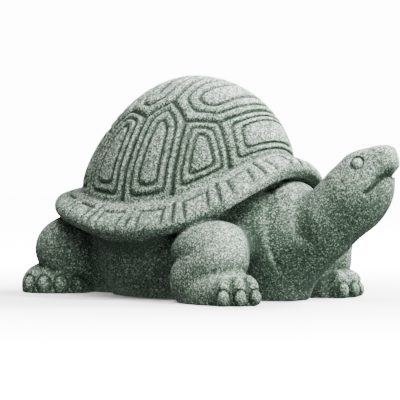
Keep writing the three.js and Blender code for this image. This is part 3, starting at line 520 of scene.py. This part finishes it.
# The neck and head.
# A thick neck leans up to a blunt wedge of a head, turned a little to the turtle's left, with a ringed
# eye on each side and a hooked line for the mouth.
THROAT = ((97, 0, 40), (142, 9, 63), 34, 21)
NECK_NARROW = 1.25
NAPE = ((97, 4, 53), (19.5, 25, 28), 10, 0, 2)
NAPE_CREASE = 8
NECK_FOLD = (5.5, 4)
NECK_FOLD_FROM = (34, 46)
HEAD_ROOT = (120, 5)
HEAD_YAW = 18
SKULL = ((143.5, 12.6, 70.5), (32.7, 21.6, 24.1), HEAD_YAW, 46, 2)
MUZZLE = ((156.3, 16.8, 93.6), (17.3, 12.6, 10.3), HEAD_YAW, 17, 3.4)
MUZZLE_CREASE = 8
JOWL = ((125.6, 5.6, 52), (20, 22.4, 23), HEAD_YAW, 0, 2)
JOWL_CREASE = 10
EYE_AT = (33.3, 14.4, 93.8)
EYE_RADIUS = 3.2
EYE_RING = (0.6, 0.8, 1.4)
MOUTH_LINE = ((40, 74), (43.5, 76.7), (48.8, 83.9), (54.2, 88.5), (62, 89))
MOUTH_WIDTH = 1.2
MOUTH_DEPTH = 2
BEAK_DROP = 3
BEAK_HALF = 4
FACE_REACH = 12


def neck(x, y, z):
    """The neck: a deep narrow throat with the swollen fold of the nape over its root."""
    throat = tapered_bar(x, y * NECK_NARROW, z, *THROAT)
    return soft_join(throat, rounded_mass(x, y, z, *NAPE), NAPE_CREASE)


def face_gaps(x, y, z):
    """Distances near the face: from the mouth line, which runs along both cheeks in straight pieces and
    dips under the tip of the beak, and from the ball of the eye."""
    c, s = np.cos(np.radians(HEAD_YAW)), np.sin(np.radians(HEAD_YAW))
    ahead = (x - HEAD_ROOT[0]) * c + (y - HEAD_ROOT[1]) * s
    beside = np.abs((y - HEAD_ROOT[1]) * c - (x - HEAD_ROOT[0]) * s)
    line = np.full(x.shape, 100.0)
    level = z + groove(beside, BEAK_HALF, BEAK_DROP)
    for (a0, z0), (a1, z1) in zip(MOUTH_LINE[:-1], MOUTH_LINE[1:]):
        ua, uz = a1 - a0, z1 - z0
        share = np.clip(((ahead - a0) * ua + (level - z0) * uz) / (ua * ua + uz * uz), 0, 1)
        line = np.minimum(line, np.hypot(ahead - a0 - share * ua, level - z0 - share * uz))
    eye = np.sqrt((ahead - EYE_AT[0]) ** 2 + (beside - EYE_AT[1]) ** 2 + (z - EYE_AT[2]) ** 2)
    return line, eye - EYE_RADIUS


def head(x, y, z):
    """The head: skull, muzzle and jowl joined, the mouth line let into them, and a ball with a groove
    round it for each eye."""
    distance = soft_join(rounded_mass(x, y, z, *SKULL), rounded_mass(x, y, z, *MUZZLE), MUZZLE_CREASE)
    distance = soft_join(distance, rounded_mass(x, y, z, *JOWL), JOWL_CREASE)
    near = distance < FACE_REACH
    line, ball = face_gaps(x[near], y[near], z[near])
    face = distance[near] + groove(line, MOUTH_WIDTH, MOUTH_DEPTH)
    face = face + groove(ball - EYE_RING[0], EYE_RING[1], EYE_RING[2])
    distance[near] = np.minimum(face, ball)
    return distance


# The carved skin.
# All the forms joined into one closed surface: a fine net of points laid over the block, thinned where it
# is smooth, and drawn onto the exact surface. Every joint between two forms has its width of crease.
BAND_CREASE = (24, 4)
BAND_CREASE_ALONG = (25, 55)
RUMP_CREASE = 10
LEG_CREASE = (3, 8)
LEG_CREASE_ALONG = (-60, -90)
BREAST_CREASE = (12, 3)
BREAST_CREASE_UP = (58, 74)
TAIL_CREASE = 9
NECK_CREASE = 2.5
HEAD_CREASE = 3
DOME_CREASE = 1
SOLE_EDGE = 1


def figure(x, y, z):
    """Distance to the whole figure, standing on the floor at z = 0."""
    under_band = between(BAND_CREASE, fade(*BAND_CREASE_ALONG, x))
    distance = soft_join(rounded_mass(x, y, z, *BELLY), band(x, y, z), under_band)
    distance = soft_join(distance, rounded_mass(x, y, z, *RUMP), RUMP_CREASE)
    distance = soft_join(distance, legs(x, y, z), between(LEG_CREASE, fade(*LEG_CREASE_ALONG, x)))
    distance = soft_join(distance, breast(x, y, z), between(BREAST_CREASE, fade(*BREAST_CREASE_UP, z)))
    distance = soft_join(distance, tapered_bar(x, y, z, *TAIL), TAIL_CREASE)
    face = head(x, y, z)
    fold = groove(np.maximum(face, 0), *NECK_FOLD) * fade(*NECK_FOLD_FROM, z)
    distance = soft_join(distance, neck(x, y, z) + fold, NECK_CREASE)
    distance = soft_join(distance, face, HEAD_CREASE)
    distance = soft_join(distance, dome(x, y, z), DOME_CREASE)
    return soft_cut(distance, -z, SOLE_EDGE)


NET_STEP = 0.9
NET_BLOCK = 4
NET_LOW = (-120, -92, -4)
NET_HIGH = (184, 92, 158)
SKIN_TRIANGLES = 190000
SLOPE_STEP = 0.05
SLOPE_LEAST = 0.3
PULL_MOST = 0.5


def in_parts(work, points, size=300000):
    """A function of points worked out a part at a time, to spare memory."""
    return np.concatenate([work(*points[n:n + size].T) for n in range(0, len(points), size)])


def net_over(step):
    """Points and four-cornered faces of the skin: one point in each small cube that the surface passes
    through, at the mean of where it crosses the cube's edges, and one face round each crossed edge.
    Only cubes in blocks whose middle lies near the surface are looked at."""
    low = np.array(NET_LOW, float)
    blocks = np.ceil((np.array(NET_HIGH) - low) / step / NET_BLOCK).astype(int)
    grid = np.indices(blocks).reshape(3, -1).T
    middles = low + (grid + 0.5) * NET_BLOCK * step
    near = np.abs(in_parts(figure, middles)) < NET_BLOCK * step * 1.5
    cells = np.zeros(blocks, bool)
    cells[tuple(grid[near].T)] = True
    for axis in range(3):
        cells = np.repeat(cells, NET_BLOCK, axis)
    corners = [(i, j, k) for i in (0, 1) for j in (0, 1) for k in (0, 1)]
    shifted = [tuple(slice(n, n + size) for n, size in zip(corner, cells.shape)) for corner in corners]
    nodes = np.zeros(np.array(cells.shape) + 1, bool)
    for part in shifted:
        nodes[part] |= cells
    value = np.full(nodes.shape, 1000.0, np.float32)
    places = np.argwhere(nodes)
    value[nodes] = in_parts(figure, low + places * step)
    inside = value < 0
    count = sum(inside[part].astype(np.int8) for part in shifted)
    cubes = np.argwhere(cells & (count > 0) & (count < 8))
    at_corner = np.stack([value[tuple((cubes + corner).T)] for corner in corners], 1).astype(float)
    total = np.zeros((len(cubes), 3))
    crossings = np.zeros(len(cubes))
    for a in range(8):
        for axis in range(3):
            # The corner one step on from a along the axis, or a itself where it is already the far one.
            b = a | (4 >> axis)
            if a != b:
                va, vb = at_corner[:, a], at_corner[:, b]
                crossed = (va < 0) != (vb < 0)
                share = np.where(crossed, va / np.where(crossed, va - vb, 1), 0)
                place = np.tile(np.array(corners[a], float), (len(cubes), 1))
                place[:, axis] += share
                total += place * crossed[:, None]
                crossings += crossed
    points = low + (cubes + total / crossings[:, None]) * step
    name = np.full(cells.shape, -1, np.int32)
    name[tuple(cubes.T)] = np.arange(len(cubes))
    faces = []
    for axis in range(3):
        along = np.eye(3, dtype=int)[axis]
        first, second = np.eye(3, dtype=int)[(axis + 1) % 3], np.eye(3, dtype=int)[(axis + 2) % 3]
        start = tuple(slice(0, size - one) for size, one in zip(inside.shape, along))
        end = tuple(slice(one, size) for size, one in zip(inside.shape, along))
        here = inside[start]
        edges = np.argwhere((here != inside[end]) & nodes[start] & nodes[end])
        leaves = here[tuple(edges.T)]
        around = [edges - first - second, edges - second, edges, edges - first]
        quad = np.stack([name[tuple(cell.T)] for cell in around], 1)
        quad[~leaves] = quad[~leaves][:, ::-1]
        faces.append(quad)
    return points, np.concatenate(faces)


def slopes(points):
    """Direction in which the distance to the figure grows fastest, from differences either side."""
    rise = []
    for axis in np.eye(3) * SLOPE_STEP:
        rise.append((in_parts(figure, points + axis) - in_parts(figure, points - axis)) / (2 * SLOPE_STEP))
    return np.stack(rise, 1)


def drawn_to_surface(points, passes):
    """Points moved along the slope until their distance to the figure is nil."""
    for _ in range(passes):
        rise = slopes(points)
        pull = in_parts(figure, points) / np.maximum((rise ** 2).sum(1), SLOPE_LEAST)
        points = points - rise * np.clip(pull, -PULL_MOST, PULL_MOST)[:, None]
    return points


def make_skin():
    """The turtle's object, and the places and outward directions of its mesh's points in millimetres.
    The mesh is closed and has no more triangles than a piece may have."""
    points, quads = net_over(NET_STEP)
    mesh = bpy.data.meshes.new("turtle")
    mesh.from_pydata(drawn_to_surface(points, 1), [], quads)
    rough = bpy.data.objects.new("stone_turtle_carved", mesh)
    bpy.context.scene.collection.objects.link(rough)
    if 2 * len(quads) > SKIN_TRIANGLES:
        thin = rough.modifiers.new("thin", "DECIMATE")
        thin.ratio = SKIN_TRIANGLES / (2 * len(quads))
        evaluated = rough.evaluated_get(bpy.context.evaluated_depsgraph_get())
        thinned = bpy.data.meshes.new_from_object(evaluated)
        rough.modifiers.clear()
        rough.data = thinned
        bpy.data.meshes.remove(mesh)
    mesh = rough.data
    points = np.zeros(3 * len(mesh.vertices))
    mesh.vertices.foreach_get("co", points)
    points = drawn_to_surface(points.reshape(-1, 3), 2)
    rise = slopes(points)
    normals = rise / np.maximum(np.linalg.norm(rise, axis=1), 1e-6)[:, None]
    return rough, points, normals


turtle, points, normals = make_skin()
points[:, 2] = np.maximum(points[:, 2], 0)
mesh = turtle.data
mesh.vertices.foreach_set("co", ((points - (MIDDLE_AHEAD, MIDDLE_LEFT, 0)) / 1000).ravel())
mesh.polygons.foreach_set("use_smooth", np.ones(len(mesh.polygons), bool))


# The painted light and shade.
# The granite's colour carries painted light where the skin lies open to the sky and faces up, and painted
# shade in the carving, in hollows and underneath. Each point of the skin carries how much painted light it
# gets, how much painted shade its hollow holds, and how near the carved lines run.
SKY_REACHES = (5, 14, 36)
SKY_LEANING_RAYS = 5
SKY_LEAN = 0.8
SKY_CLEARANCE = 0.3
SKY_GRAZING = 0.35
POCKET_REACH = 5
POCKET_OPEN = (0.35, 0.95)
HOLLOW_REACH = 1.5
HOLLOW_OPEN = (0.5, 0.93)
FACING_UP = (-0.5, 0.35)
HIGH_UP = (30, 110)
# Shares of painted light left in pockets, on faces turned down and near the ground: painted shade.
LIGHT_LEFT_IN_POCKETS = 0.25
LIGHT_LEFT_FACING_DOWN = 0.45
LIGHT_LEFT_LOW_DOWN = 0.82
# Painted shade darkens the throat, and painted light brightens the stone under the shell's front lip.
THROAT_SHADE = ((146, -9, 57), (132, -14, 44), (118, -19, 31), (104, -22, 18))
THROAT_SHADE_SIZE = 22
THROAT_SHADE_SHARE = 0.85
LIP_LIGHT = ((90, -46, 69), (95, -37, 73.5), (98, -27, 77), (97, -12, 79), (91, 6, 81))
LIP_LIGHT_SIZE = 12
LIP_LIGHT_SHARE = 0.95
# How near the skin counts as the form's own, and distances that stand for no line in reach.
ON_THE_FORM = 0.6
SEAM_END_GAP = 5
EYE_BALL_WITHIN = 0.3
NO_RING = 3
NO_LINE = 100


def openness(reach):
    """How open the surface is: the distance to the figure a reach out from it, over the reach. It is 1 on
    a flat or rounded place and falls towards 0 in a groove or under an overhang."""
    return np.clip(in_parts(figure, points + normals * reach) / reach, 0, 1)


def sky_share():
    """How much of the sky a place on the skin sees, from 0 to 1. Six rays go up from it, each clear where
    the figure keeps its distance, and count by how squarely the skin faces them."""
    start = points + normals * HOLLOW_REACH
    turns = np.arange(SKY_LEANING_RAYS) * 2 * np.pi / SKY_LEANING_RAYS
    up = np.sqrt(1 - SKY_LEAN ** 2)
    ways = [(0, 0, 1)] + [(SKY_LEAN * np.cos(turn), SKY_LEAN * np.sin(turn), up) for turn in turns]
    seen = np.zeros(len(points))
    for way in np.array(ways):
        clear = np.ones(len(points))
        for reach in SKY_REACHES:
            room = in_parts(figure, start + reach * way) / (SKY_CLEARANCE * reach)
            clear = np.minimum(clear, np.clip(room, 0, 1))
        seen += clear * np.clip(between((SKY_GRAZING, 1), normals @ way), 0, 1)
    return seen / SKY_LEANING_RAYS


def patch(places, size):
    """A soft patch over the skin round a few places: 1 at each and fading over the size."""
    return np.max([np.exp(-((points - place) ** 2).sum(1) / size ** 2) for place in places], axis=0)


def carved_lines(x, y, z):
    """Where the carved lines run over the skin: the distance from the nearest seam or mouth line, from
    the first ring, arch or eye ring, and from the second ring, and how fully they are cut there."""
    on_dome, on_band, on_head = (np.abs(form(x, y, z)) for form in (dome, band, head))
    flat_x, cosine, sine, radius, rise, foot = in_plan(x, y, z)
    seam, ring, step = plate_gaps(flat_x, y, z, cosine, sine, radius, rise, foot)
    second = ring - step
    cut = np.ones(len(x))
    _, up, from_foot, from_seam, from_middle = band_gaps(x, y, z)
    mine = on_band < on_dome
    seam[mine] = (from_seam + SEAM_END_GAP * (1 - fade(*BAND_SEAM_FROM, from_foot)))[mine]
    ring[mine] = np.maximum(BAND_ARCH_DROP - from_foot, from_middle - BAND_ARCH_HALF)[mine]
    second[mine] = NO_LINE
    cut[mine] = fade(*BAND_LIP_FADE, up)[mine]
    line, ball = face_gaps(x, y, z)
    mine = on_head < np.minimum(on_dome, on_band)
    ring[mine] = np.where(ball < EYE_BALL_WITHIN, NO_RING, ball - EYE_RING[0])[mine]
    seam[mine] = line[mine]
    second[mine] = NO_LINE
    cut[mine] = 1
    cut[np.minimum(np.minimum(on_dome, on_band), on_head) > ON_THE_FORM] = 0
    return seam, ring, second, cut


# Painted light where a point sees the sky; painted shade in pockets, underneath, low down and at the
# throat.
painted_light = sky_share()
painted_light *= between((LIGHT_LEFT_IN_POCKETS, 1), fade(*POCKET_OPEN, openness(POCKET_REACH)))
painted_light *= between((LIGHT_LEFT_FACING_DOWN, 1), fade(*FACING_UP, normals[:, 2]))
painted_light *= between((LIGHT_LEFT_LOW_DOWN, 1), fade(*HIGH_UP, points[:, 2]))
painted_light *= 1 - THROAT_SHADE_SHARE * patch(THROAT_SHADE, THROAT_SHADE_SIZE)
# Painted light under the shell's front lip.
painted_light = np.maximum(painted_light, LIP_LIGHT_SHARE * patch(LIP_LIGHT, LIP_LIGHT_SIZE))
# Painted shade in grooves and narrow hollows, none under the shell's front lip.
hollow_shade = 1 - fade(*HOLLOW_OPEN, openness(HOLLOW_REACH))
hollow_shade *= 1 - patch(LIP_LIGHT, LIP_LIGHT_SIZE)
# The eyeballs get full painted light and no painted shade.
eyes = face_gaps(*points.T)[1] < EYE_BALL_WITHIN
painted_light[eyes] = 1
hollow_shade[eyes] = 0
seam, ring, second, cut = carved_lines(*points.T)
layers = {"painted_light": painted_light, "hollow_shade": hollow_shade, "seam": seam, "ring": ring, "second": second, "cut": cut}
for name, values in layers.items():
    mesh.attributes.new(name, "FLOAT", "POINT").data.foreach_set("value", values)
mesh.update()


# The granite.
# Green granite with a sandblasted face, its grains about a millimetre across, with light and shade painted
# into its colour: painted light makes it pale where it lies open to the sky, painted shade makes it dark
# green on the undersides, in hollows and along the grooves. Clouds, grains and bumps are counted to the
# metre, and the widths of lines are in millimetres.
# The ground colour runs from full painted shade at 0 to full painted light at 1.
GROUND_SHADES = [(0.0, (0.032, 0.056, 0.038)), (0.35, (0.085, 0.122, 0.090)), (1.0, (0.17, 0.215, 0.175))]
CLOUDS = 38
CLOUD_SHADES = [(0.3, (0.72, 0.78, 0.72)), (0.7, (1, 1, 1))]
GRAINS = 1350
GRAIN_SOFTNESS = 0.25
DARK_GRAINS = (0.58, 0.7)
DARK_GRAIN_SHADE = (0.30, 0.38, 0.32)
PALE_GRAINS = (0.72, 0.92)
# Pale grains come more often where the painted light is, and their colour follows it.
PALE_GRAINS_MORE = 0.16
PALE_GRAIN_SHADES = ((0.14, 0.175, 0.14), (0.62, 0.67, 0.62))
# Colour of the painted shadow in grooves and hollows, from painted shade to painted light.
GROOVE_SHADOW_SHADES = ((0.006, 0.013, 0.008), (0.018, 0.032, 0.021))
SEAM_LINE_WIDTH = 1.3
RING_LINE_WIDTH = 0.95
RING_LINE_SHARE = 0.9
LINE_SHARE = 0.88
HOLLOW_SHADE_SHARE = 0.6
BUMPS = 900
BUMP_HEIGHT = 0.0006
BUMP_SHARE = 0.5


def granite():
    """The stone's material: a ground from dark to pale by the painted light on the mesh, clouded a little,
    with dark and pale grains from cells of random shade, over a fine uneven surface. Painted shade darkens
    the hollows, and the carved lines too, by e to the power of minus the square of distance over width."""
    stone = bpy.data.materials.new("granite")
    stone.use_nodes = True
    nodes, links = stone.node_tree.nodes, stone.node_tree.links
    shader = nodes["Principled BSDF"]
    shader.inputs["Roughness"].default_value = 0.8
    shader.inputs["Specular IOR Level"].default_value = 0.12
    place = nodes.new("ShaderNodeTexCoord").outputs["Object"]

    def fill(socket, value):
        if isinstance(value, bpy.types.NodeSocket):
            links.new(value, socket)
        elif isinstance(value, tuple):
            socket.default_value = (*value, 1)
        else:
            socket.default_value = value

    def noise(scale, detail, rough=0.5):
        one = nodes.new("ShaderNodeTexNoise")
        one.inputs["Scale"].default_value = scale
        one.inputs["Detail"].default_value = detail
        one.inputs["Roughness"].default_value = rough
        links.new(place, one.inputs["Vector"])
        return one.outputs["Fac"]

    def random_cells(scale):
        cells = nodes.new("ShaderNodeTexVoronoi")
        cells.feature = "SMOOTH_F1"
        cells.inputs["Scale"].default_value = scale
        cells.inputs["Smoothness"].default_value = GRAIN_SOFTNESS
        links.new(place, cells.inputs["Vector"])
        parts = nodes.new("ShaderNodeSeparateColor")
        links.new(cells.outputs["Color"], parts.inputs[0])
        return parts.outputs

    def ramp(source, stops):
        one = nodes.new("ShaderNodeValToRGB")
        ends = one.color_ramp.elements
        ends[0].position, ends[0].color = stops[0][0], (*stops[0][1], 1)
        ends[1].position, ends[1].color = stops[-1][0], (*stops[-1][1], 1)
        for position, colour in stops[1:-1]:
            ends.new(position).color = (*colour, 1)
        links.new(source, one.inputs["Fac"])
        return one.outputs["Color"]

    def step_up(source, start, end):
        return ramp(source, [(start, (0, 0, 0)), (end, (1, 1, 1))])

    def mix(kind, share, first, second):
        one = nodes.new("ShaderNodeMix")
        one.data_type = "RGBA"
        one.blend_type = kind
        for socket, value in ((0, share), (6, first), (7, second)):
            fill(one.inputs[socket], value)
        return one.outputs[2]

    def math(kind, first, second):
        one = nodes.new("ShaderNodeMath")
        one.operation = kind
        fill(one.inputs[0], first)
        fill(one.inputs[1], second)
        return one.outputs[0]

    def attribute(name):
        one = nodes.new("ShaderNodeAttribute")
        one.attribute_name = name
        return one.outputs["Fac"]

    def line(name, width):
        share = math("DIVIDE", attribute(name), width)
        return math("EXPONENT", math("MULTIPLY", math("MULTIPLY", share, share), -1.0), 0.0)

    # The painted light on each point sets the ground, the pale grains and the groove shadow colour.
    light_paint = attribute("painted_light")
    rings = math("MAXIMUM", line("ring", RING_LINE_WIDTH), line("second", RING_LINE_WIDTH))
    carved = math("MAXIMUM", line("seam", SEAM_LINE_WIDTH), math("MULTIPLY", rings, RING_LINE_SHARE))
    carved = math("MULTIPLY", carved, attribute("cut"))
    hollow_shading = math("MULTIPLY", attribute("hollow_shade"), HOLLOW_SHADE_SHARE)
    # Painted shade along the carved lines and in hollows: the shadow the grooves would hold.
    deep = math("MAXIMUM", math("MULTIPLY", carved, LINE_SHARE), hollow_shading)
    colour = ramp(light_paint, GROUND_SHADES)
    colour = mix("MULTIPLY", 1.0, colour, ramp(noise(CLOUDS, 3), CLOUD_SHADES))
    grain = random_cells(GRAINS)
    dark = step_up(grain[1], *DARK_GRAINS)
    colour = mix("MIX", dark, colour, mix("MULTIPLY", 1.0, colour, DARK_GRAIN_SHADE))
    pale = step_up(math("ADD", grain[0], math("MULTIPLY", light_paint, PALE_GRAINS_MORE)), *PALE_GRAINS)
    colour = mix("MIX", pale, colour, mix("MIX", light_paint, *PALE_GRAIN_SHADES))
    colour = mix("MIX", deep, colour, mix("MIX", light_paint, *GROOVE_SHADOW_SHADES))
    links.new(colour, shader.inputs["Base Color"])
    bump = nodes.new("ShaderNodeBump")
    bump.inputs["Strength"].default_value = BUMP_SHARE
    bump.inputs["Distance"].default_value = BUMP_HEIGHT
    links.new(noise(BUMPS, 3, 0.6), bump.inputs["Height"])
    links.new(bump.outputs["Normal"], shader.inputs["Normal"])
    return stone


mesh.materials.clear()
mesh.materials.append(granite())
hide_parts("stone_turtle")
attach(turtle, "root")
